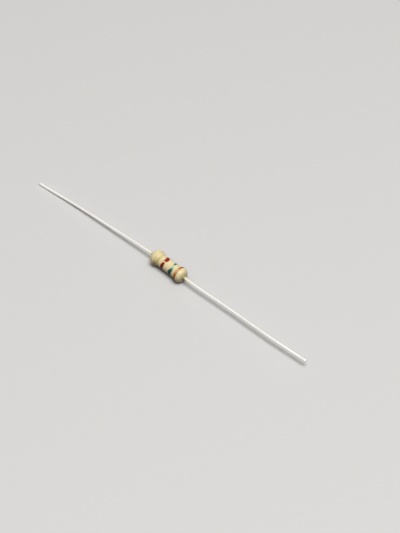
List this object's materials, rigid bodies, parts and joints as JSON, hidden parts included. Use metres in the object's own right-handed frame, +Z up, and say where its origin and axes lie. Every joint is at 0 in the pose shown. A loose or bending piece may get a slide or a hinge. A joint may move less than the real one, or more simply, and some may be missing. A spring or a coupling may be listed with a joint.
{
  "type": "axial resistor",
  "caption": "Small axial film resistor with a beige dog-bone lacquer body, painted colour bands and a straight wire lead from each end for soldering through a circuit board.",
  "frame": {"origin": "under the middle of the body, on the surface the resistor lies on", "axes": "+X along the body towards the end with the first colour band (brown), +Z up from the surface"},
  "size_m": [0.0526, 0.0029, 0.0024],
  "materials": {
    "ceramic": "matte fired ceramic rod, off-white",
    "carbon_film": "thin dark grey carbon film fired on the rod, satin",
    "cap_steel": "drawn and tin-plated steel cup",
    "tinned_wire": "tin-plated wire, bright with faint drawing lines",
    "lacquer": "beige epoxy lacquer, glossy, drawn smooth by surface tension",
    "brown_paint": "glossy orange-brown colour-code paint",
    "green_paint": "glossy dark teal-green colour-code paint",
    "red_paint": "glossy dark red colour-code paint",
    "gold_paint": "dull gold-bronze colour-code paint, close in tone to the lacquer"
  },
  "bodies": {
    "root": {"ceramic_rod": "ceramic", "carbon_film": "carbon_film", "left_end_cap": "cap_steel", "right_end_cap": "cap_steel", "left_lead": "tinned_wire", "right_lead": "tinned_wire", "lacquer_coat": "lacquer", "brown_band": "brown_paint", "green_band": "green_paint", "red_band": "red_paint", "gold_band": "gold_paint"}
  },
  "joints": []
}
